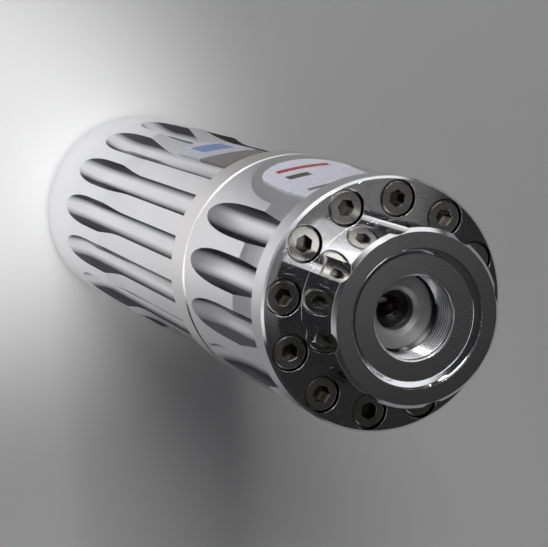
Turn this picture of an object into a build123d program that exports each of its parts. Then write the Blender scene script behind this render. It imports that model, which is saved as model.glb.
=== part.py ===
"""Handheld laser pointer: fluted round housing, screwed bezel with a turned nose, push button in the tail."""
from build123d import *
import math
import os

os.makedirs("parts", exist_ok=True)

# Millimetres. The origin is the middle of the tail face, +Z runs to the nose, +Y is the label side.

# Housing
BODY_R = 20.0
TUBE_LEN = 86.0
RING_LEN = 6.8
HEAD_LEN = 32.8
FLANGE_LEN = 4.8
NOSE_LEN = 12.2
TAIL_ROUND = 2.0
EDGE_BREAK = 0.3
HEAD_REAR_ROUND = 1.0

Z_RING = TUBE_LEN
Z_HEAD = Z_RING + RING_LEN
Z_FLANGE = Z_HEAD + HEAD_LEN
Z_FACE = Z_FLANGE + FLANGE_LEN
Z_NOSE = Z_FACE + NOSE_LEN

# Waists: head and tube are turned down towards the shoulder in front of them
WAIST_R = BODY_R - 1.0
WAIST_ARC_R = 72.0
HEAD_WAIST_LEN = 8.1
TUBE_WAIST_LEN = 46.1
OVERCUT = 1.0

# Flutes at 24 degrees: fifteen on the tube, on the head the label field takes the room of three
TUBE_FLUTE_COUNT = 15
HEAD_FLUTE_COUNT = 12
FLUTE_PITCH = 24.0
FLUTE_FIRST = 138.0
FLUTE_CUT_R = 3.3
FLUTE_DEPTH = 1.9
FLUTE_LIFT_R = 60.0
FLUTE_AXIS_R = BODY_R - FLUTE_DEPTH + FLUTE_CUT_R
FLUTE_RUN = math.sqrt(2.0 * (FLUTE_LIFT_R + FLUTE_CUT_R) * FLUTE_DEPTH - FLUTE_DEPTH ** 2)
HEAD_FLUTE_TIP = Z_HEAD + 3.2
TUBE_FLUTE_TIP = 15.4

# Label fields and label foils
FIELD_DEPTH = 2.2
FIELD_FLOOR_Y = BODY_R - FIELD_DEPTH
FIELD_CROWN_R = 48.0
FIELD_CUTTER_W = 28.0
FIELD_CUTTER_H = 10.0
FIELD_RUN = 22.3
FIELD_LIFT_R = (FIELD_RUN ** 2 + FIELD_DEPTH ** 2) / (2.0 * FIELD_DEPTH)
HEAD_FIELD_TIP = Z_HEAD + 1.6
TUBE_FIELD_TIP = 34.4
FOIL_INSET = 2.2
FOIL_T = 0.25
GLUE = 0.03
FOIL_END_LEN = 7.0
HEAD_FOIL_HALF_W = 7.6
TUBE_FOIL_HALF_W = 5.6
HEAD_FOIL_SETBACK = 3.6
TUBE_FOIL_SETBACK = 14.1

# Bezel and its screws
NOSE_STEP = 6.4
NOSE_R = BODY_R - NOSE_STEP
NOSE_CHAMFER = 0.6
FLANGE_CHAMFER = 0.4
SCREW_COUNT = 12
SCREW_FIRST = 15.0
SCREW_PCD_R = BODY_R - 3.4
SCREW_HEAD_R = 2.75
SCREW_HEAD_H = 3.0
SCREW_SHANK_R = 1.5
SCREW_CORE_R = 1.2
SCREW_LEN = 8.0
SOCKET_AF = 2.5
SOCKET_DEPTH = 1.5
COUNTERBORE_R = 2.95
COUNTERBORE_DEPTH = 3.2
SCREW_CLEAR_R = 1.6
TAPPED_R = 1.25
TAPPED_DEPTH = 7.4
SCALLOP_COUNT = 8
SCALLOP_FIRST = 5.0
SCALLOP_CUT_R = 2.75
SCALLOP_DEPTH = 0.55

# Nose bores
RECESS_MOUTH_R = NOSE_R - 3.0
RECESS_FLOOR_R = NOSE_R - 3.8
RECESS_DEPTH = 1.0
NOSE_THREAD_R = 6.45
NOSE_THREAD_LEN = 5.9
NOSE_THREAD_CHAMFER = 0.2
LIP_R = 5.85
LIP_T = 0.6
Z_RECESS = Z_NOSE - RECESS_DEPTH
Z_THREAD_END = Z_RECESS - NOSE_THREAD_LEN
Z_LIP = Z_THREAD_END - LIP_T

# Lens cell, its lens, ring and seal
FIT = 0.05
CELL_BORE_R = 6.25
CELL_R = CELL_BORE_R - FIT
SEAL_R = 0.6
SEAL_RING_R = 5.3
MODULE_GAP = 0.2
Z_MODULE_TOP = Z_FLANGE - MODULE_GAP
Z_CELL = Z_MODULE_TOP + 2.0 * SEAL_R
APERTURE_R = 3.1
APERTURE_CHAMFER = 0.7
LENS_BORE_R = 4.55
LENS_R = LENS_BORE_R - FIT
LENS_SEAT_T = 2.6
LENS_EDGE_T = 1.6
LENS_DOME_R = 2.95
LENS_DOME_H = 0.9
LENS_RING_T = 1.4
LENS_RING_IN_R = 3.4
Z_LENS_SEAT = Z_LIP - LENS_SEAT_T

# Module with the diode
MODULE_R = 0.5 * BODY_R
MODULE_BORE_R = MODULE_R + FIT
MODULE_LEN = 19.4
Z_MODULE = Z_MODULE_TOP - MODULE_LEN
MODULE_EDGE = 0.4
DIODE_SEAT_DEPTH = 6.4
DIODE_R = 4.5
DIODE_T = 1.5
DIODE_CAN_R = 3.2
DIODE_CAN_H = 2.7
DIODE_PIN_R = 0.25
DIODE_PIN_LEN = 7.0
DIODE_PIN_X = 1.3
LEAD_BORE_R = 3.2
DIODE_RING_IN_R = 3.5
DIODE_RING_T = 2.0
LEAD_R = 0.5
Z_DIODE = Z_MODULE_TOP - DIODE_SEAT_DEPTH

# Driver board in the head
LEDGE_T = 3.0
LEDGE_R = MODULE_R - 1.0
BOARD_BORE_WALL = 7.0
BOARD_BORE_R = BODY_R - BOARD_BORE_WALL
BOARD_R = BOARD_BORE_R - 0.1
BOARD_T = 1.6
BOARD_RING_T = 2.0
COIL_R = 2.4
COIL_H = 2.4
PART_X = 5.2
REGULATOR_X = 3.9
REGULATOR_Y = 4.9
REGULATOR_H = 1.5
CAP_X = 3.2
CAP_Y = 1.6
CAP_H = 1.4
CAP_PLACE_Y = 5.4
BOARD_RING_IN_R = BOARD_BORE_R - 2.5
Z_BOARD_TOP = Z_MODULE - LEDGE_T
Z_BOARD = Z_BOARD_TOP - BOARD_T
Z_HEAD_SOCKET = Z_HEAD + 5.2

# Joint between tube and head
SPIGOT_R = BODY_R - 3.5
THREAD_FIT = 0.1
SOCKET_R = SPIGOT_R + THREAD_FIT
SPIGOT_LEN = 11.4
ORING_R = 0.63
ORING_W = 1.7
ORING_GAP = 0.02

# Cell and its springs
CELL_WALL = 6.9
CELL_CAN_R = BODY_R - CELL_WALL
CELL_GAP = 0.4
TUBE_BORE_R = CELL_CAN_R + CELL_GAP
CELL_CAN_LEN = 65.2
CELL_CAN_ROUND = 1.0
CELL_CAP_R = 4.5
CELL_CAP_H = 0.8
Z_CELL_CAN = 24.0
WIRE_R = 0.45
WIRE_TURNS = 4
FRONT_SPRING_R = 3.6
TAIL_SPRING_R = 6.4

# Tail plug, switch and button
PLUG_LEN = 15.0
PLUG_R = SPIGOT_R - THREAD_FIT
BUTTON_R = 6.0
BUTTON_FIT = 0.1
BUTTON_RECESS = 0.6
BUTTON_SEAT_Z = 4.0
BUTTON_FLANGE_R = 7.4
BUTTON_FLANGE_T = 1.2
BUTTON_TRAVEL = 1.2
STEM_R = 1.9
STEM_TOP_Z = 8.3
PLUG_CAVITY_R = 10.0
PLUG_BOARD_R = 12.0
PLUG_BOARD_Z = 11.4
SWITCH_BODY_Z = 8.0
SWITCH_BODY_W = 9.0
SWITCH_HOLE_R = 2.0
SWITCH_HOLE_DEPTH = 1.8
BUTTON_SPRING_R = 3.1
BUTTON_WIRE_R = 0.25
BUTTON_TURNS = 3
SWITCH_BOARD_T = 1.6
SWITCH_RING_W = 2.0
SWITCH_RING_IN_R = PLUG_BOARD_R - SWITCH_RING_W

LOW = (Align.CENTER, Align.CENTER, Align.MIN)


def disc(radius, z0, z1, x=0.0, y=0.0):
    return Pos(x, y, z0) * Cylinder(radius, z1 - z0, align=LOW)


def ring(outer, inner, z0, z1):
    return disc(outer, z0, z1) - disc(inner, z0 - 1.0, z1 + 1.0)


def turned(points):
    """Solid of revolution about the beam axis from (radius, height) points."""
    profile = make_face(Polyline(*[(r, 0.0, z) for r, z in points], close=True))
    return revolve(profile, axis=Axis.Z)


def around(shape, count, first, pitch):
    return [Rot(0, 0, first + k * pitch) * shape for k in range(count)]


def seal_ring(major, minor, z):
    return Pos(0, 0, z) * Torus(major, minor)


def coil(z0, z1, radius, wire, turns):
    """Round-wire spring that just reaches the two heights."""
    height = z1 - z0 - 2.0 * wire
    path = Pos(0, 0, z0 + wire) * Helix(height / turns, height, radius)
    start = Plane(origin=path @ 0, z_dir=path % 0)
    return sweep(start * Circle(wire), path=path)


def flute(z_shoulder, z_tip):
    """Round groove open at the shoulder, its cutter lifting out along an arc towards the tip."""
    z_lift = z_tip + FLUTE_RUN
    straight = disc(FLUTE_CUT_R, z_lift, z_shoulder + 1.0, x=FLUTE_AXIS_R)
    lift_axis = Axis((FLUTE_AXIS_R + FLUTE_LIFT_R, 0, z_lift), (0, -1, 0))
    lift = revolve(Pos(FLUTE_AXIS_R, 0, z_lift) * Circle(FLUTE_CUT_R), axis=lift_axis, revolution_arc=20)
    return straight + lift


def waist(z_shoulder, length):
    """Turned-down stretch below a shoulder, rising to the full round along an arc."""
    depth = BODY_R - WAIST_R
    run = math.sqrt(2.0 * WAIST_ARC_R * depth - depth ** 2)
    z_lift = z_shoulder - length + run
    arc = Pos(WAIST_R + WAIST_ARC_R, z_lift) * Circle(WAIST_ARC_R)
    below = Pos(BODY_R, z_lift - run) * Rectangle(2.0 * (depth + OVERCUT), 2.0 * run)
    cut = revolve(Plane.XZ * (arc & below), axis=Axis.Z)
    if z_lift < z_shoulder:
        cut += ring(BODY_R + OVERCUT, WAIST_R, z_lift, z_shoulder + OVERCUT)
    return cut


def swept_field(face, z_shoulder, z_tip):
    """Carry a flat face down from the shoulder and out along the lift arc of the field."""
    z_lift = z_tip + FIELD_RUN
    start = Pos(0, 0, z_lift) * face
    lift_axis = Axis((0, FIELD_FLOOR_Y + FIELD_LIFT_R, z_lift), (1, 0, 0))
    return extrude(start, z_shoulder + OVERCUT - z_lift) + revolve(start, axis=lift_axis, revolution_arc=16)


def crown(gap):
    return Pos(0, FIELD_FLOOR_Y - FIELD_CROWN_R) * Circle(FIELD_CROWN_R + gap)


def label_field(z_shoulder, z_tip):
    """Wide, nearly flat field without walls that runs out in a long oval end."""
    block = Pos(0, BODY_R) * Rectangle(FIELD_CUTTER_W, FIELD_CUTTER_H)
    return swept_field(block - crown(0.0), z_shoulder, z_tip)


def foil_outline(half_width, z_top, z_tip):
    end = Pos(0, z_tip + FOIL_END_LEN) * Ellipse(half_width, FOIL_END_LEN)
    length = z_top - z_tip - FOIL_END_LEN
    side = Pos(0, z_top - length / 2.0) * Rectangle(2.0 * half_width, length)
    return Plane.XZ * (end + side)


def label_foil(z_shoulder, z_field_tip, setback, half_width):
    """Thin foil glued to the floor of a field."""
    band = crown(GLUE + FOIL_T) - crown(GLUE)
    face = band & Pos(0, BODY_R) * Rectangle(2.0 * (half_width + OVERCUT), FIELD_CUTTER_H)
    outline = foil_outline(half_width, z_shoulder - FOIL_INSET, z_field_tip + setback)
    return swept_field(face, z_shoulder, z_field_tip) & extrude(outline, amount=-(BODY_R + 2.0))


def bezel():
    points = [
        (CELL_BORE_R, Z_FLANGE),
        (BODY_R - EDGE_BREAK, Z_FLANGE),
        (BODY_R, Z_FLANGE + EDGE_BREAK),
        (BODY_R, Z_FACE - FLANGE_CHAMFER),
        (BODY_R - FLANGE_CHAMFER, Z_FACE),
        (NOSE_R, Z_FACE),
        (NOSE_R, Z_NOSE - NOSE_CHAMFER),
        (NOSE_R - NOSE_CHAMFER, Z_NOSE),
        (RECESS_MOUTH_R, Z_NOSE),
        (RECESS_FLOOR_R, Z_RECESS),
        (NOSE_THREAD_R + NOSE_THREAD_CHAMFER, Z_RECESS),
        (NOSE_THREAD_R, Z_RECESS - NOSE_THREAD_CHAMFER),
        (NOSE_THREAD_R, Z_THREAD_END),
        (LIP_R, Z_THREAD_END - 0.3),
        (LIP_R, Z_LIP),
        (CELL_BORE_R, Z_LIP),
    ]
    body = turned(points)
    counterbore = disc(COUNTERBORE_R, Z_FACE - COUNTERBORE_DEPTH, Z_FACE + 1.0, x=SCREW_PCD_R)
    hole = disc(SCREW_CLEAR_R, Z_FLANGE - 1.0, Z_FACE, x=SCREW_PCD_R)
    scallop_x = NOSE_R - SCALLOP_DEPTH + SCALLOP_CUT_R
    scallop = disc(SCALLOP_CUT_R, Z_FACE, Z_NOSE + 1.0, x=scallop_x)
    body -= around(counterbore + hole, SCREW_COUNT, SCREW_FIRST, 360.0 / SCREW_COUNT)
    body -= around(scallop, SCALLOP_COUNT, SCALLOP_FIRST, 360.0 / SCALLOP_COUNT)
    return body


def bezel_screw():
    """Cap screw with a hexagon socket, threaded end drawn at its core size."""
    z_seat = Z_FACE - COUNTERBORE_DEPTH
    z_top = z_seat + SCREW_HEAD_H
    z_end = z_seat - SCREW_LEN
    points = [
        (0.0, z_end),
        (SCREW_CORE_R - 0.3, z_end),
        (SCREW_CORE_R, z_end + 0.3),
        (SCREW_CORE_R, Z_FLANGE),
        (SCREW_SHANK_R, Z_FLANGE),
        (SCREW_SHANK_R, z_seat),
        (SCREW_HEAD_R, z_seat),
        (SCREW_HEAD_R, z_top - 0.3),
        (SCREW_HEAD_R - 0.3, z_top),
        (0.0, z_top),
    ]
    socket = extrude(Pos(0, 0, z_top - SOCKET_DEPTH) * RegularPolygon(SOCKET_AF / 2.0, 6, major_radius=False), 5)
    return Pos(SCREW_PCD_R, 0, 0) * (turned(points) - socket)


def bezel_screws():
    return Compound(children=around(bezel_screw(), SCREW_COUNT, SCREW_FIRST, 360.0 / SCREW_COUNT))


def lens_cell():
    points = [
        (LENS_BORE_R, Z_CELL),
        (CELL_R, Z_CELL),
        (CELL_R, Z_LIP),
        (APERTURE_R + APERTURE_CHAMFER, Z_LIP),
        (APERTURE_R, Z_LIP - APERTURE_CHAMFER),
        (APERTURE_R, Z_LENS_SEAT),
        (LENS_BORE_R, Z_LENS_SEAT),
    ]
    return turned(points)


def lens():
    """Flat-backed lens, its dome reaching into the aperture."""
    dome_r = (LENS_DOME_R ** 2 + LENS_DOME_H ** 2) / (2.0 * LENS_DOME_H)
    edge = disc(LENS_R, Z_LENS_SEAT - LENS_EDGE_T, Z_LENS_SEAT)
    ball = Pos(0, 0, Z_LENS_SEAT + LENS_DOME_H - dome_r) * Sphere(dome_r)
    dome = ball & disc(LENS_DOME_R, Z_LENS_SEAT - 0.5, Z_LENS_SEAT + 2.0)
    return edge + dome


def lens_ring():
    z_top = Z_LENS_SEAT - LENS_EDGE_T
    return ring(LENS_R, LENS_RING_IN_R, z_top - LENS_RING_T, z_top)


def lens_seal():
    return seal_ring(SEAL_RING_R, SEAL_R, Z_MODULE_TOP + SEAL_R)


def module_body():
    points = [
        (LEAD_BORE_R, Z_MODULE),
        (MODULE_R - MODULE_EDGE, Z_MODULE),
        (MODULE_R, Z_MODULE + MODULE_EDGE),
        (MODULE_R, Z_MODULE_TOP - MODULE_EDGE),
        (MODULE_R - MODULE_EDGE, Z_MODULE_TOP),
        (DIODE_R + FIT, Z_MODULE_TOP),
        (DIODE_R + FIT, Z_DIODE),
        (LEAD_BORE_R, Z_DIODE),
    ]
    return turned(points)


def laser_diode():
    base = disc(DIODE_R, Z_DIODE, Z_DIODE + DIODE_T)
    can = disc(DIODE_CAN_R, Z_DIODE + DIODE_T, Z_DIODE + DIODE_T + DIODE_CAN_H)
    pins = [disc(DIODE_PIN_R, Z_DIODE - DIODE_PIN_LEN, Z_DIODE + 0.2, x=x) for x in (-DIODE_PIN_X, DIODE_PIN_X)]
    return base + can + pins


def diode_ring():
    z0 = Z_DIODE + DIODE_T
    return ring(DIODE_R, DIODE_RING_IN_R, z0, z0 + DIODE_RING_T)


def diode_leads():
    z1 = Z_DIODE - DIODE_PIN_LEN
    return Compound(children=[disc(LEAD_R, Z_BOARD_TOP, z1, x=x) for x in (-DIODE_PIN_X, DIODE_PIN_X)])


def driver_board():
    return disc(BOARD_R, Z_BOARD, Z_BOARD_TOP)


def driver_parts():
    """Coil, regulator and capacitors on the front of the driver board."""
    coil_core = disc(COIL_R, Z_BOARD_TOP, Z_BOARD_TOP + COIL_H, x=PART_X)
    regulator = Pos(-PART_X, 0, Z_BOARD_TOP) * Box(REGULATOR_X, REGULATOR_Y, REGULATOR_H, align=LOW)
    caps = [Pos(0, y, Z_BOARD_TOP) * Box(CAP_X, CAP_Y, CAP_H, align=LOW) for y in (-CAP_PLACE_Y, CAP_PLACE_Y)]
    return Compound(children=[coil_core, regulator] + caps)


def driver_ring():
    return ring(BOARD_BORE_R - FIT, BOARD_RING_IN_R, Z_BOARD - BOARD_RING_T, Z_BOARD)


def front_spring():
    return coil(Z_CELL_CAN + CELL_CAN_LEN + CELL_CAP_H, Z_BOARD, FRONT_SPRING_R, WIRE_R, WIRE_TURNS)


def head_body():
    body = disc(BODY_R, Z_HEAD, Z_FLANGE)
    body = fillet(body.edges().group_by(Axis.Z)[0], HEAD_REAR_ROUND)
    body -= disc(SOCKET_R, Z_HEAD - 1.0, Z_HEAD_SOCKET)
    body -= disc(BOARD_BORE_R, Z_HEAD, Z_BOARD_TOP)
    body -= disc(LEDGE_R, Z_BOARD_TOP - 1.0, Z_MODULE)
    body -= disc(MODULE_BORE_R, Z_MODULE, Z_FLANGE + 1.0)
    tapped = disc(TAPPED_R, Z_FLANGE - TAPPED_DEPTH, Z_FLANGE + 1.0, x=SCREW_PCD_R)
    body -= around(tapped, SCREW_COUNT, SCREW_FIRST, 360.0 / SCREW_COUNT)
    body -= waist(Z_FLANGE, HEAD_WAIST_LEN)
    body -= around(flute(Z_FLANGE, HEAD_FLUTE_TIP), HEAD_FLUTE_COUNT, FLUTE_FIRST, FLUTE_PITCH)
    return body - label_field(Z_FLANGE, HEAD_FIELD_TIP)


def head_label():
    return label_foil(Z_FLANGE, HEAD_FIELD_TIP, HEAD_FOIL_SETBACK, HEAD_FOIL_HALF_W)


def joint_ring():
    points = [
        (SOCKET_R, Z_RING),
        (BODY_R - EDGE_BREAK, Z_RING),
        (BODY_R, Z_RING + EDGE_BREAK),
        (BODY_R, Z_HEAD - EDGE_BREAK),
        (BODY_R - EDGE_BREAK, Z_HEAD),
        (SOCKET_R, Z_HEAD),
    ]
    return turned(points)


def joint_seal():
    return seal_ring(SOCKET_R - ORING_GAP - ORING_R, ORING_R, Z_HEAD + 1.9)


def tube_body():
    body = disc(BODY_R, 0.0, TUBE_LEN)
    body = fillet(body.edges().group_by(Axis.Z)[0], TAIL_ROUND)
    body += disc(SPIGOT_R, TUBE_LEN - 1.0, TUBE_LEN + SPIGOT_LEN)
    groove_r = SOCKET_R - 2.0 * (ORING_GAP + ORING_R)
    z_groove = Z_HEAD + 1.9
    body -= ring(SPIGOT_R + 1.0, groove_r, z_groove - ORING_W / 2.0, z_groove + ORING_W / 2.0)
    body -= disc(TUBE_BORE_R, -1.0, TUBE_LEN + SPIGOT_LEN + 1.0)
    body -= disc(SPIGOT_R, -1.0, PLUG_LEN)
    reach = disc(2.0 * BODY_R, 0.0, TUBE_LEN)
    body -= waist(TUBE_LEN, TUBE_WAIST_LEN)
    body -= around(flute(TUBE_LEN, TUBE_FLUTE_TIP) & reach, TUBE_FLUTE_COUNT, FLUTE_FIRST, FLUTE_PITCH)
    return body - (label_field(TUBE_LEN, TUBE_FIELD_TIP) & reach)


def tube_label():
    return label_foil(TUBE_LEN, TUBE_FIELD_TIP, TUBE_FOIL_SETBACK, TUBE_FOIL_HALF_W)


def cell_can():
    z1 = Z_CELL_CAN + CELL_CAN_LEN
    body = disc(CELL_CAN_R, Z_CELL_CAN, z1)
    return chamfer(body.edges().filter_by(GeomType.CIRCLE), CELL_CAN_ROUND)


def cell_cap():
    z1 = Z_CELL_CAN + CELL_CAN_LEN
    return disc(CELL_CAP_R, z1, z1 + CELL_CAP_H)


def tail_spring():
    return coil(PLUG_BOARD_Z + SWITCH_BOARD_T, Z_CELL_CAN, TAIL_SPRING_R, WIRE_R, WIRE_TURNS)


def tail_plug():
    points = [
        (BUTTON_R + BUTTON_FIT + 0.8, 0.0),
        (PLUG_R, 0.0),
        (PLUG_R, PLUG_LEN),
        (PLUG_BOARD_R, PLUG_LEN),
        (PLUG_BOARD_R, PLUG_BOARD_Z),
        (PLUG_CAVITY_R, PLUG_BOARD_Z),
        (PLUG_CAVITY_R, BUTTON_SEAT_Z),
        (BUTTON_R + BUTTON_FIT, BUTTON_SEAT_Z),
        (BUTTON_R + BUTTON_FIT, 0.8),
    ]
    groove_r = SPIGOT_R - 2.0 * (ORING_GAP + ORING_R)
    z_groove = PLUG_LEN - 2.5
    return turned(points) - ring(PLUG_R + 1.0, groove_r, z_groove - ORING_W / 2.0, z_groove + ORING_W / 2.0)


def tail_seal():
    return seal_ring(SPIGOT_R - ORING_GAP - ORING_R, ORING_R, PLUG_LEN - 2.5)


def push_button():
    z_flange = BUTTON_SEAT_Z + BUTTON_FLANGE_T
    points = [
        (0.0, BUTTON_RECESS),
        (BUTTON_R - 0.5, BUTTON_RECESS),
        (BUTTON_R, BUTTON_RECESS + 0.5),
        (BUTTON_R, BUTTON_SEAT_Z),
        (BUTTON_FLANGE_R, BUTTON_SEAT_Z),
        (BUTTON_FLANGE_R, z_flange),
        (STEM_R, z_flange),
        (STEM_R, STEM_TOP_Z),
        (0.0, STEM_TOP_Z),
    ]
    return turned(points)


def button_spring():
    z0 = BUTTON_SEAT_Z + BUTTON_FLANGE_T
    return coil(z0, SWITCH_BODY_Z, BUTTON_SPRING_R, BUTTON_WIRE_R, BUTTON_TURNS)


def switch_body():
    height = PLUG_BOARD_Z - SWITCH_BODY_Z
    body = Pos(0, 0, SWITCH_BODY_Z) * Box(SWITCH_BODY_W, SWITCH_BODY_W, height, align=LOW)
    return body - disc(SWITCH_HOLE_R, SWITCH_BODY_Z - 1.0, SWITCH_BODY_Z + SWITCH_HOLE_DEPTH)


def switch_board():
    return disc(PLUG_BOARD_R - 0.1, PLUG_BOARD_Z, PLUG_BOARD_Z + SWITCH_BOARD_T)


def switch_ring():
    return ring(PLUG_BOARD_R - FIT, SWITCH_RING_IN_R, PLUG_BOARD_Z + SWITCH_BOARD_T, PLUG_LEN)


NODES = {
    "bezel": bezel,
    "bezel_screws": bezel_screws,
    "lens_cell": lens_cell,
    "lens": lens,
    "lens_ring": lens_ring,
    "lens_seal": lens_seal,
    "module_body": module_body,
    "laser_diode": laser_diode,
    "diode_ring": diode_ring,
    "diode_leads": diode_leads,
    "driver_board": driver_board,
    "driver_parts": driver_parts,
    "driver_ring": driver_ring,
    "front_spring": front_spring,
    "head_body": head_body,
    "head_label": head_label,
    "joint_ring": joint_ring,
    "joint_seal": joint_seal,
    "tube_body": tube_body,
    "tube_label": tube_label,
    "cell_can": cell_can,
    "cell_cap": cell_cap,
    "tail_spring": tail_spring,
    "tail_plug": tail_plug,
    "tail_seal": tail_seal,
    "push_button": push_button,
    "button_spring": button_spring,
    "switch_body": switch_body,
    "switch_board": switch_board,
    "switch_ring": switch_ring,
}

for name, make in NODES.items():
    export_step(make(), f"parts/{name}.step")
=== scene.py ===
"""Handheld laser pointer in polished aluminium, standing on its tail on a pale floor."""
import bmesh
import bpy
import math
from mathutils import Matrix, Vector


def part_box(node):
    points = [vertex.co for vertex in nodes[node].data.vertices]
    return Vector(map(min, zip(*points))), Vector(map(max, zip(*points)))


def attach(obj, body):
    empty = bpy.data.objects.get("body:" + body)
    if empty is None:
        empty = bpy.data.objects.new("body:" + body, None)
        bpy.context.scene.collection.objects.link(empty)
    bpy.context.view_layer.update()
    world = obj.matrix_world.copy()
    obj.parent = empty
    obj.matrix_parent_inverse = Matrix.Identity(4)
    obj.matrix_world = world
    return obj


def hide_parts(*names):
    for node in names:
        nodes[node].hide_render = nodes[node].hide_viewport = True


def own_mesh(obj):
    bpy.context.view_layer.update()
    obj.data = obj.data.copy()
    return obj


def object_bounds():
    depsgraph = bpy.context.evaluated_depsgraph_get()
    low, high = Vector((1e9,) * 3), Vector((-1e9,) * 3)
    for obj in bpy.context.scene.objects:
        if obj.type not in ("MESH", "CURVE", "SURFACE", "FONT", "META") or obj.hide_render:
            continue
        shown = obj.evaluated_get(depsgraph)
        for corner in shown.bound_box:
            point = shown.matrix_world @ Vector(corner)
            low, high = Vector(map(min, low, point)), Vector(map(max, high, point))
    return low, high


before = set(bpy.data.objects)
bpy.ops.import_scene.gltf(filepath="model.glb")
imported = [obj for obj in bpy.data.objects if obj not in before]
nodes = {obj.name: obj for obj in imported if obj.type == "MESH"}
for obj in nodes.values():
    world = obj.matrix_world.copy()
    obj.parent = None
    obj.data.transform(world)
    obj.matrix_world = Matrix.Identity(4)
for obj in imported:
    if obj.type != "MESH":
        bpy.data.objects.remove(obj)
cad_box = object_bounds()

MM = 0.001

# Heights and radii of the solids that the finishes and the added forms follow, in metres
Z_NOSE = 142.6 * MM
Z_RECESS = 141.6 * MM
Z_THREAD_END = 135.7 * MM
# The undercut height and radii below bound the band behind the thread's end that gets a painted shadow.
Z_UNDERCUT = 134.0 * MM
Z_WINDOW = 130.0 * MM
Z_FACE = 130.4 * MM
Z_SOCKET = Z_FACE - 0.75 * MM
Z_SOCKET_END = 125.0 * MM
R_RECESS = 10.6 * MM
R_WINDOW = 6.6 * MM
R_THREAD = 6.45 * MM
R_UNDERCUT_IN = 5.0 * MM
R_UNDERCUT_OUT = 7.0 * MM
R_FLUTE_IN = 18.0 * MM
R_FLUTE_OUT = 21.0 * MM

# Thread of the nose window: how far its ridge stands in, and how deep it is set into the wall
THREAD_PITCH = 0.75 * MM
THREAD_HEIGHT = 0.3 * MM
THREAD_SINK = 0.02 * MM

# Turns that the thread stops short of the bore's length, its start and half width as shares of the pitch,
# the crest as a share of that half width, and the steps in one turn
THREAD_RUNOUT = 1.4
THREAD_START = 0.4
THREAD_HALF = 0.44
THREAD_CREST = 0.1
THREAD_STEPS = 80

# Bevel round the window recess: how far the cone of the solid runs in, and the bevel's own width
CONE_RUN = 0.8 * MM
BEVEL_WIDTH = 1.0 * MM
BEVEL_STEPS = 160

# Coil behind the push button: radius of its wire, room at both ends, turns, steps in one turn
SPRING_WIRE = 0.25 * MM
SPRING_GAP = 0.02 * MM
SPRING_TURNS = 3
SPRING_STEPS = 48
WIRE_SIDES = 10

# Scale of the noise in the finishes, in cells per metre
FINE_TURNING = 9000.0
BEZEL_TURNING = 7000.0
BROAD_SMEARS = 60.0
BEZEL_SMEARS = 70.0
CUTTER_STROKES = 90.0
CUTTER_STRETCH = 30.0
STEEL_GRAIN = 2500.0
STEEL_SMEARS = 300.0
FOIL_GRAIN = 500.0
LENS_FILM = 250.0
FLOOR_SPECKLE = 40.0

# Softness of the edges between finishes, and width of the worn edges
EDGE_SHARP = 0.02 * MM
EDGE_SOFT = 0.05 * MM
TURNED_EDGE = 0.12 * MM
FLUTED_EDGE = 0.15 * MM
SCREW_EDGE = 0.08 * MM
WIRE_EDGE = 0.05 * MM

# Scratches on the face of the flange: direction in degrees, width and length
SCRATCHES = [
    (20.0, 0.1 * MM, 2.2 * MM),
    (75.0, 0.1 * MM, 3.0 * MM),
    (130.0, 0.12 * MM, 2.6 * MM),
]

# Grain height of the plastics and the foils
PLASTIC_GRAIN = 0.01 * MM
FOIL_GRAIN_HEIGHT = 0.0012 * MM

# Brightness of the lit wall low in the room, and where it ends, as the height of a unit direction
WALL_BRIGHT = 1.7
WALL_SOFT = 0.95
WALL_FOOT = 0.06
WALL_FADE = 0.3
WALL_TOP = 0.4

FLOOR_RADIUS = 6.0


class Pattern:
    """Short names for the shader nodes that a pattern is built from."""

    def __init__(self, tree):
        self.tree = tree

    def add(self, kind, sockets=None, **settings):
        made = self.tree.nodes.new(kind)
        for key, value in settings.items():
            setattr(made, key, value)
        for key, value in (sockets or {}).items():
            self.put(made.inputs[key], value)
        return made

    def put(self, socket, value):
        if isinstance(value, bpy.types.NodeSocket):
            self.tree.links.new(value, socket)
        else:
            socket.default_value = value

    def math(self, operation, a, b=0.0):
        return self.add("ShaderNodeMath", {0: a, 1: b}, operation=operation).outputs[0]

    def times(self, a, b):
        return self.math("MULTIPLY", a, b)

    def plus(self, a, b):
        return self.math("ADD", a, b)

    def ramp(self, value, from_low, from_high, to_low, to_high):
        made = self.add("ShaderNodeMapRange", {"Value": value, "From Min": from_low, "From Max": from_high,
                                               "To Min": to_low, "To Max": to_high})
        return made.outputs["Result"]

    def vector_math(self, operation, sockets, output=0):
        return self.add("ShaderNodeVectorMath", sockets, operation=operation).outputs[output]


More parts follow.
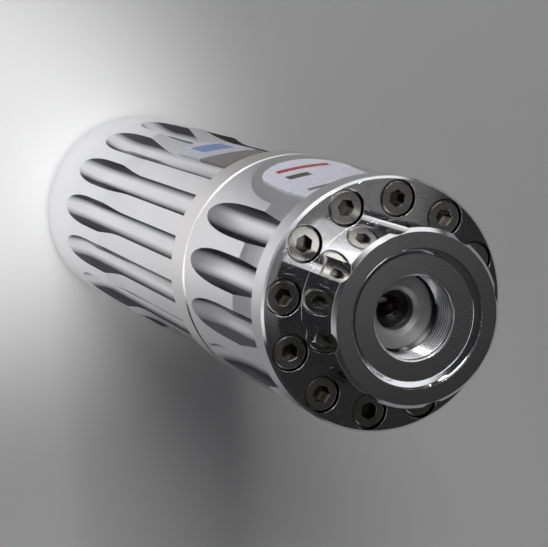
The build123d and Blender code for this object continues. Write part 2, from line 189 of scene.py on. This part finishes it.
class Finish(Pattern):
    """A material under construction."""

    SOCKETS = {
        "color": "Base Color",
        "metal": "Metallic",
        "rough": "Roughness",
        "normal": "Normal",
        "glass": "Transmission Weight",
        "ior": "IOR",
        "grazing": "Specular Tint",
    }

    def __init__(self, name):
        self.material = bpy.data.materials.new(name)
        self.material.use_nodes = True
        super().__init__(self.material.node_tree)
        self.surface = self.tree.nodes["Principled BSDF"]
        self.place = self.add("ShaderNodeTexCoord").outputs["Object"]
        self.facing = self.place.node.outputs["Normal"]
        self.x, self.y, self.z = self.add("ShaderNodeSeparateXYZ", {"Vector": self.place}).outputs

    def done(self, **values):
        for key, value in values.items():
            self.put(self.surface.inputs[self.SOCKETS[key]], value)
        return self.material

    def vector(self, x, y, z):
        return self.add("ShaderNodeCombineXYZ", {"X": x, "Y": y, "Z": z}).outputs["Vector"]

    def radius(self):
        squares = self.plus(self.times(self.x, self.x), self.times(self.y, self.y))
        return self.math("SQRT", squares)

    def steepness(self, shallow, steep):
        """0 where the wall faces straight out from the beam axis, 1 where it leans past both cosines."""
        outward = self.vector_math("NORMALIZE", {0: self.vector(self.x, self.y, 0.0)})
        lean = self.vector_math("DOT_PRODUCT", {0: outward, 1: self.facing}, "Value")
        return self.ramp(lean, steep, shallow, 1.0, 0.0)

    def upward(self):
        """1 on faces square to the beam axis that look towards the nose."""
        split = self.add("ShaderNodeSeparateXYZ", {"Vector": self.facing})
        return self.ramp(split.outputs[2], 0.9, 0.97, 0.0, 1.0)

    def band(self, value, low, high, soft):
        """1 where value lies between low and high, with edges of the given softness."""
        rise = self.ramp(value, low - soft, low + soft, 0.0, 1.0)
        fall = self.ramp(value, high - soft, high + soft, 1.0, 0.0)
        return self.times(rise, fall)

    def field(self, x0, x1, z0, z1):
        across = self.band(self.x, x0, x1, EDGE_SOFT)
        return self.times(across, self.band(self.z, z0, z1, EDGE_SOFT))

    def zone(self, r0, r1, z0, z1, soft):
        """1 in the ring between two radii and two heights."""
        return self.times(self.band(self.radius(), r0, r1, soft), self.band(self.z, z0, z1, soft))

    def noise(self, at, scale, detail, rough=0.5):
        made = self.add("ShaderNodeTexNoise", {"Vector": at, "Scale": scale, "Detail": detail,
                                               "Roughness": rough})
        return made.outputs["Fac"]

    def turning(self, scale):
        """Fine rings about the beam axis, as a lathe leaves them, on walls and faces alike."""
        return self.noise(self.vector(self.radius(), 0.0, self.z), scale, 3.0, 0.6)

    def worn(self, scale, rough_low, rough_high, light, dark):
        """Roughness and colour that drift together with broad smears."""
        smear = self.noise(self.place, scale, 4.0, 0.55)
        rough = self.ramp(smear, 0.3, 0.75, rough_low, rough_high)
        return rough, self.mix(self.ramp(smear, 0.25, 0.8, 0.0, 1.0), light, dark)

    def scratches(self, turn, width, length):
        """Thin straight marks, turned by the given angle, with their width and length in metres."""
        c = math.cos(math.radians(turn))
        s = math.sin(math.radians(turn))
        across = self.plus(self.times(self.x, c), self.times(self.y, s))
        along = self.math("SUBTRACT", self.times(self.y, c), self.times(self.x, s))
        place = self.vector(self.math("DIVIDE", across, width), self.math("DIVIDE", along, length), turn)
        return self.ramp(self.noise(place, 1.0, 1.0), 0.70, 0.74, 0.0, 1.0)

    def mix(self, share, a, b):
        made = self.add("ShaderNodeMix", {"Factor": share}, data_type="RGBA")
        self.put(made.inputs[6], a)
        self.put(made.inputs[7], b)
        return made.outputs[2]

    def bump(self, height, distance, strength=1.0, edge=None):
        made = self.add("ShaderNodeBump", {"Height": height, "Distance": distance, "Strength": strength})
        if edge:
            rounded = self.add("ShaderNodeBevel", {"Radius": edge}, samples=4)
            self.put(made.inputs["Normal"], rounded.outputs["Normal"])
        return made.outputs["Normal"]


def rgb(red, green, blue):
    return (red, green, blue, 1.0)


def grey(value, tint=0.0):
    return rgb(value, value, value * (1.0 + tint))


def turned_metal(name, light, dark, rough_low, rough_high, line_height, edge=TURNED_EDGE):
    """Metal turned on a lathe, with fine rings."""
    f = Finish(name)
    rings = f.turning(FINE_TURNING)
    rough, color = f.worn(BROAD_SMEARS, rough_low, rough_high, light, dark)
    rough = f.plus(rough, f.ramp(rings, 0.3, 0.7, -0.015, 0.015))
    return f.done(color=color, metal=1.0, rough=rough, normal=f.bump(rings, line_height, 0.5, edge))


def fluted_metal():
    """Polished housing: bright lands and flute floors, with painted shade in the colour and the reflection
    tint of the steep flute walls.
    """
    f = Finish("polished housing")
    stretched = f.vector(f.times(f.x, CUTTER_STRETCH), f.times(f.y, CUTTER_STRETCH), f.z)
    strokes = f.noise(stretched, CUTTER_STROKES, 3.0, 0.6)
    flute_depth = f.band(f.radius(), R_FLUTE_IN, R_FLUTE_OUT, 0.3 * MM)
    shaded_walls = f.times(f.steepness(shallow=0.965, steep=0.76), flute_depth)
    rough, color = f.worn(BROAD_SMEARS, 0.08, 0.16, grey(0.83, 0.012), grey(0.77, 0.02))
    rough = f.plus(rough, f.ramp(strokes, 0.35, 0.7, -0.015, 0.03))
    rough = f.plus(rough, f.times(shaded_walls, 0.1))
    # Painted shade: the steep flute walls get a near-black colour and a dark reflection tint.
    color = f.mix(f.times(shaded_walls, 0.9), color, grey(0.07, 0.1))
    grazing = f.mix(f.times(shaded_walls, 0.8), grey(1.0), grey(0.15))
    normal = f.bump(f.turning(FINE_TURNING), 0.002 * MM, 0.5, FLUTED_EDGE)
    return f.done(color=color, grazing=grazing, metal=1.0, rough=rough, normal=normal)


def flange_marks(f):
    """Scratches in several directions on the face of the flange."""
    marks = f.scratches(*SCRATCHES[0])
    for direction in SCRATCHES[1:]:
        marks = f.plus(marks, f.scratches(*direction))
    face = f.times(f.upward(), f.band(f.z, Z_FACE - 0.2 * MM, Z_FACE + 0.2 * MM, EDGE_SHARP))
    return f.times(marks, face)


def bezel_metal():
    """Turned bezel: bright scratched flange, satin front faces, painted shadow in the gap behind the
    thread.
    """
    f = Finish("polished bezel")
    rings = f.turning(BEZEL_TURNING)
    front = f.times(f.upward(), f.band(f.z, Z_RECESS - 0.1 * MM, Z_NOSE + 1.0 * MM, EDGE_SHARP))
    window = f.zone(0.0, R_WINDOW, Z_WINDOW, Z_RECESS, EDGE_SOFT)
    gap_shadow = f.zone(R_UNDERCUT_IN, R_UNDERCUT_OUT, Z_UNDERCUT, Z_THREAD_END + EDGE_SHARP, EDGE_SHARP)
    marks = flange_marks(f)
    rough, color = f.worn(BEZEL_SMEARS, 0.06, 0.12, grey(0.82, 0.01), grey(0.76, 0.015))
    rough = f.plus(rough, f.times(front, 0.16))
    rough = f.plus(rough, f.ramp(rings, 0.3, 0.7, -0.02, 0.02))
    rough = f.plus(rough, f.times(window, 0.14))
    rough = f.plus(rough, f.times(marks, 0.1))
    color = f.mix(f.times(front, 0.6), color, grey(0.5))
    # Painted shadow: the narrow band behind the thread's end is coloured near black.
    color = f.mix(f.times(gap_shadow, 0.92), color, grey(0.02))
    height = f.plus(rings, f.times(marks, 5.0))
    strength = f.plus(f.times(front, 0.7), 0.3)
    normal = f.bump(height, 0.004 * MM, strength, TURNED_EDGE)
    return f.done(color=color, metal=1.0, rough=rough, normal=normal)


def screw_steel():
    """Plain stainless heads with painted shade in the hexagon sockets."""
    f = Finish("screw steel")
    grain = f.noise(f.place, STEEL_GRAIN, 3.0, 0.6)
    smear = f.noise(f.place, STEEL_SMEARS, 3.0, 0.55)
    socket = f.band(f.z, Z_SOCKET_END, Z_SOCKET, 0.35 * MM)
    color = f.mix(smear, rgb(0.58, 0.57, 0.53), rgb(0.44, 0.43, 0.40))
    # Painted shade: the hexagon sockets are coloured near black.
    color = f.mix(f.times(socket, 0.85), color, rgb(0.06, 0.055, 0.045))
    rough = f.ramp(smear, 0.3, 0.7, 0.16, 0.28)
    return f.done(color=color, metal=1.0, rough=rough, normal=f.bump(grain, 0.004 * MM, 0.5, SCREW_EDGE))


def foil(name, light, dark, fields, rough_low, rough_high):
    """Foil with plain colour fields only, each given by its edges in millimetres and its colour."""
    f = Finish(name)
    grain = f.noise(f.place, FOIL_GRAIN, 3.0)
    color = f.mix(grain, light, dark)
    for left, right, bottom, top, ink in fields:
        color = f.mix(f.field(left * MM, right * MM, bottom * MM, top * MM), color, ink)
    rough = f.ramp(grain, 0.3, 0.7, rough_low, rough_high)
    return f.done(color=color, rough=rough, normal=f.bump(grain, FOIL_GRAIN_HEIGHT))


def head_foil():
    fields = [
        (-4.6, 4.6, 102.0, 103.6, rgb(0.42, 0.05, 0.04)),
        (-4.6, -0.6, 106.2, 108.6, grey(0.05)),
        (-5.6, 5.6, 117.8, 119.6, rgb(0.16, 0.13, 0.13)),
    ]
    return foil("head foil", rgb(0.78, 0.77, 0.87), rgb(0.81, 0.80, 0.89), fields, 0.2, 0.3)


def tube_foil():
    fields = [
        (-2.6, 3.6, 52.0, 60.0, rgb(0.05, 0.16, 0.48)),
        (-9.0, 9.0, 66.0, 81.0, rgb(0.09, 0.075, 0.07)),
    ]
    return foil("tube foil", rgb(0.50, 0.50, 0.60), rgb(0.58, 0.58, 0.67), fields, 0.18, 0.28)


def plain_plastic(name, light, dark, rough, grain):
    f = Finish(name)
    speckle = f.noise(f.place, grain, 3.0, 0.6)
    color = f.mix(f.ramp(speckle, 0.3, 0.7, 0.0, 1.0), light, dark)
    rough = f.ramp(speckle, 0.3, 0.7, rough, rough + 0.1)
    return f.done(color=color, rough=rough, normal=f.bump(speckle, PLASTIC_GRAIN))


def coated_glass():
    f = Finish("coated glass")
    film = f.noise(f.place, LENS_FILM, 3.0)
    rough = f.ramp(film, 0.3, 0.7, 0.0, 0.03)
    return f.done(color=rgb(0.17, 0.12, 0.1), glass=1.0, ior=1.52, rough=rough)


def dress(names, material):
    for name in names:
        piece = nodes[name]
        piece.data.materials.clear()
        piece.data.materials.append(material)


def finish_outside():
    ring = turned_metal("turned ring", rgb(0.84, 0.83, 0.80), rgb(0.78, 0.77, 0.74), 0.14, 0.2, 0.003 * MM)
    plug = turned_metal("turned plug", grey(0.8), grey(0.73), 0.16, 0.26, 0.004 * MM)
    button = turned_metal("satin button", grey(0.72), grey(0.66), 0.24, 0.34, 0.004 * MM)
    cell = turned_metal("bored cell", grey(0.86), grey(0.80), 0.4, 0.5, 0.004 * MM)
    dress(["head_body", "tube_body"], fluted_metal())
    dress(["bezel"], bezel_metal())
    dress(["bezel_screws"], screw_steel())
    dress(["joint_ring"], ring)
    dress(["tail_plug"], plug)
    dress(["push_button"], button)
    dress(["lens_cell"], cell)
    dress(["lens"], coated_glass())
    dress(["head_label"], head_foil())
    dress(["tube_label"], tube_foil())


def finish_inside():
    steel = turned_metal("drawn steel", grey(0.62), grey(0.55), 0.2, 0.3, 0.002 * MM, WIRE_EDGE)
    brass = turned_metal("turned brass", rgb(0.80, 0.62, 0.30), rgb(0.70, 0.50, 0.22),
                         0.16, 0.28, 0.003 * MM)
    rubber = plain_plastic("seal rubber", grey(0.035), grey(0.05), 0.5, 900.0)
    sleeve = plain_plastic("lead sleeve", rgb(0.42, 0.05, 0.04), rgb(0.36, 0.04, 0.03), 0.4, 900.0)
    board = plain_plastic("board lacquer", rgb(0.03, 0.2, 0.08), rgb(0.03, 0.15, 0.07), 0.25, 700.0)
    moulded = plain_plastic("moulded black", grey(0.05), grey(0.035), 0.4, 1500.0)
    wrap = plain_plastic("cell sleeve", rgb(0.05, 0.2, 0.5), rgb(0.04, 0.17, 0.44), 0.25, 300.0)
    dress(["front_spring", "tail_spring", "button_spring", "cell_cap"], steel)
    dress(["module_body", "lens_ring", "diode_ring", "driver_ring", "switch_ring", "laser_diode"], brass)
    dress(["lens_seal", "joint_seal", "tail_seal"], rubber)
    dress(["diode_leads"], sleeve)
    dress(["driver_board", "switch_board"], board)
    dress(["driver_parts", "switch_body"], moulded)
    dress(["cell_can"], wrap)


def placed(name, bm, material):
    """Object of one mesh, linked to the scene."""
    mesh = bpy.data.meshes.new(name)
    bm.to_mesh(mesh)
    bm.free()
    mesh.materials.append(material)
    made = bpy.data.objects.new(name, mesh)
    bpy.context.scene.collection.objects.link(made)
    return made


def bare_piece(name, bm, material):
    """Object of one closed mesh with its normals outward."""
    bmesh.ops.recalc_face_normals(bm, faces=bm.faces)
    return placed(name, bm, material)


def profile(section):
    """Closed outline through points given by radius and height."""
    bm = bmesh.new()
    verts = [bm.verts.new((r, 0.0, z)) for r, z in section]
    for k in range(len(verts)):
        bm.edges.new((verts[k], verts[k - 1]))
    return bm


def sweep(bm, turns, steps, climb, merge=False):
    """Carry the outline round the beam axis, climbing at each step."""
    bmesh.ops.spin(bm, geom=bm.verts[:] + bm.edges[:], axis=(0, 0, 1), cent=(0, 0, 0),
                   dvec=(0, 0, climb), angle=math.tau * turns, steps=steps, use_merge=merge)


def close_ends(bm, sides):
    bmesh.ops.holes_fill(bm, edges=[e for e in bm.edges if e.is_boundary], sides=sides)


def window_thread(material):
    """The turns of the thread in the nose window, cut as one ridge along a helix."""
    turns = (Z_RECESS - Z_THREAD_END) / THREAD_PITCH - THREAD_RUNOUT
    z0 = Z_THREAD_END + THREAD_START * THREAD_PITCH
    half = THREAD_HALF * THREAD_PITCH
    section = [
        (R_THREAD + THREAD_SINK, z0 - half),
        (R_THREAD - THREAD_HEIGHT, z0 - THREAD_CREST * half),
        (R_THREAD - THREAD_HEIGHT, z0 + THREAD_CREST * half),
        (R_THREAD + THREAD_SINK, z0 + half),
    ]
    bm = profile(section)
    sweep(bm, turns, round(THREAD_STEPS * turns), THREAD_PITCH / THREAD_STEPS)
    close_ends(bm, 8)
    ridge = bare_piece("window_thread_turns", bm, material)
    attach(ridge, "casing")


def recess_bevel(material):
    """The polished bevel round the window recess, laid over the plain cone of the solid."""
    section = [
        (R_RECESS, Z_NOSE),
        (R_RECESS - CONE_RUN, Z_RECESS),
        (R_RECESS - BEVEL_WIDTH, Z_RECESS),
    ]
    bm = profile(section)
    sweep(bm, 1, BEVEL_STEPS, 0, merge=True)
    bevel = bare_piece("recess_bevel", bm, material)
    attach(bevel, "casing")


def return_spring(material):
    """The coil behind the push button."""
    low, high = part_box("button_spring")
    z_low = low[2] + SPRING_GAP
    z_high = high[2] - SPRING_GAP
    coil_radius = high[0] - SPRING_WIRE
    rise = z_high - z_low - 2.0 * SPRING_WIRE
    steps = SPRING_TURNS * SPRING_STEPS
    upright = Matrix.Rotation(math.pi / 2, 4, "X")
    start = Matrix.Translation((coil_radius, 0.0, z_low + SPRING_WIRE)) @ upright
    bm = bmesh.new()
    bmesh.ops.create_circle(bm, segments=WIRE_SIDES, radius=SPRING_WIRE, matrix=start)
    sweep(bm, SPRING_TURNS, steps, rise / steps)
    close_ends(bm, WIRE_SIDES)
    coil = bare_piece("return_spring", bm, material)
    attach(coil, "casing")
    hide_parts("button_spring")
    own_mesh(coil)


def pale_floor():
    f = Finish("pale floor")
    speckle = f.noise(f.place, FLOOR_SPECKLE, 4.0)
    material = f.done(color=f.mix(speckle, grey(0.80), grey(0.83)), rough=0.9)
    bm = bmesh.new()
    bmesh.ops.create_circle(bm, cap_ends=True, segments=96, radius=FLOOR_RADIUS)
    bmesh.ops.translate(bm, verts=bm.verts, vec=(0.0, 0.0, cad_box[0][2]))
    placed("floor", bm, material)


def studio_world():
    """Dim room with a lit wall low down: brightest on the camera's side, softer on the label side."""
    world = bpy.data.worlds.new("studio")
    world.use_nodes = True
    p = Pattern(world.node_tree)
    direction = p.add("ShaderNodeTexCoord").outputs["Generated"]
    level = p.vector_math("MULTIPLY", {0: direction, 1: (1.0, 1.0, 0.0)})
    level = p.vector_math("NORMALIZE", {0: level})
    height = p.add("ShaderNodeSeparateXYZ", {"Vector": direction}).outputs["Z"]
    foot = p.ramp(height, 0.0, WALL_FOOT, 0.0, 1.0)
    low_band = p.times(foot, p.ramp(height, WALL_FADE, WALL_TOP, 1.0, 0.0))

    def wall(azimuth, inner, outer, brightness):
        """Part of the low wall, full within the inner angle from the azimuth, gone at the outer one."""
        a = math.radians(azimuth)
        lean = p.vector_math("DOT_PRODUCT", {0: level, 1: (math.cos(a), math.sin(a), 0.0)}, "Value")
        near = math.cos(math.radians(inner))
        far = math.cos(math.radians(outer))
        return p.times(p.times(p.ramp(lean, far, near, 0.0, 1.0), low_band), brightness)

    bright = wall(145.0, 38.0, 58.0, WALL_BRIGHT)
    soft = wall(60.0, 34.0, 56.0, WALL_SOFT)
    room = p.ramp(height, 0.0, 0.6, 0.04, 0.022)
    total = p.plus(p.plus(bright, soft), room)
    tinted = p.vector_math("SCALE", {0: (1.0, 1.0, 1.04), "Scale": total})
    p.put(p.tree.nodes["Background"].inputs["Color"], tinted)
    bpy.context.scene.world = world


def place_lamp(lamp, azimuth, elevation, distance, aim):
    made = bpy.data.objects.new(lamp.name, lamp)
    bpy.context.scene.collection.objects.link(made)
    a = math.radians(azimuth)
    e = math.radians(elevation)
    outward = Vector((math.cos(a) * math.cos(e), math.sin(a) * math.cos(e), math.sin(e)))
    turn = outward.to_track_quat("Z", "Y").to_matrix().to_4x4()
    made.matrix_world = Matrix.Translation(aim + outward * distance) @ turn


def soft_lamp(name, size, watts, **where):
    """Square lamp near the part."""
    lamp = bpy.data.lights.new(name, "AREA")
    lamp.shape = "SQUARE"
    lamp.size = size
    lamp.energy = watts
    place_lamp(lamp, **where)


def even_lamp(name, spread, strength, **where):
    """Distant soft light that is the same all over the floor."""
    lamp = bpy.data.lights.new(name, "SUN")
    lamp.angle = math.radians(spread)
    lamp.energy = strength
    place_lamp(lamp, **where)


def pool_lamp(name, cone, size, watts, **where):
    """Lamp whose light fades out softly towards the edge of its cone."""
    lamp = bpy.data.lights.new(name, "SPOT")
    lamp.spot_size = math.radians(cone)
    lamp.spot_blend = 0.8
    lamp.shadow_soft_size = size
    lamp.energy = watts
    place_lamp(lamp, **where)


def studio_lamps():
    beside_tail = Vector((-0.0400, 0.0215, 0.0))
    mid_head = Vector((0, 0, 0.11))
    flange = Vector((0, 0, 0.13))
    window = Vector((0, 0, Z_RECESS))
    foot = Vector((0, 0, 0))
    pool_lamp("floor lamp", cone=11.0, size=0.02, watts=9.6,
              azimuth=145.0, elevation=62.0, distance=0.6, aim=beside_tail)
    pool_lamp("side lamp", cone=11.0, size=0.08, watts=6.0,
              azimuth=88.0, elevation=30.0, distance=0.6, aim=mid_head)
    pool_lamp("window lamp", cone=2.6, size=0.03, watts=3.3,
              azimuth=62.0, elevation=48.0, distance=0.4, aim=window)
    soft_lamp("top lamp", size=0.2, watts=0.085, azimuth=98.0, elevation=61.0, distance=0.4, aim=flange)
    soft_lamp("overhead card", size=0.10, watts=0.0045,
              azimuth=343.6, elevation=70.5, distance=0.368, aim=flange)
    even_lamp("even light", spread=25.0, strength=0.66,
              azimuth=105.0, elevation=52.0, distance=1.0, aim=foot)


def photo_camera():
    """The camera found from the edge circles in the photograph: place, right and up in the part's frame."""
    place = Vector((-109.585, 64.316, 387.806)) * MM
    right = Vector((0.926185, -0.117422, 0.358319))
    up = Vector((0.180250, 0.972543, -0.147207))
    back = right.cross(up)
    camera = bpy.data.cameras.new("camera")
    camera.lens = 122.707
    camera.sensor_width = 36.0
    camera.clip_start = 0.01
    made = bpy.data.objects.new("camera", camera)
    bpy.context.scene.collection.objects.link(made)
    turn = Matrix((right, up, back)).transposed().to_4x4()
    made.matrix_world = Matrix.Translation(place) @ turn
    bpy.context.scene.camera = made


finish_outside()
finish_inside()
window_thread(nodes["bezel"].data.materials[0])
recess_bevel(nodes["bezel"].data.materials[0])
return_spring(nodes["button_spring"].data.materials[0])
pale_floor()
studio_world()
studio_lamps()
photo_camera()
bpy.context.scene.view_settings.view_transform = "Standard"
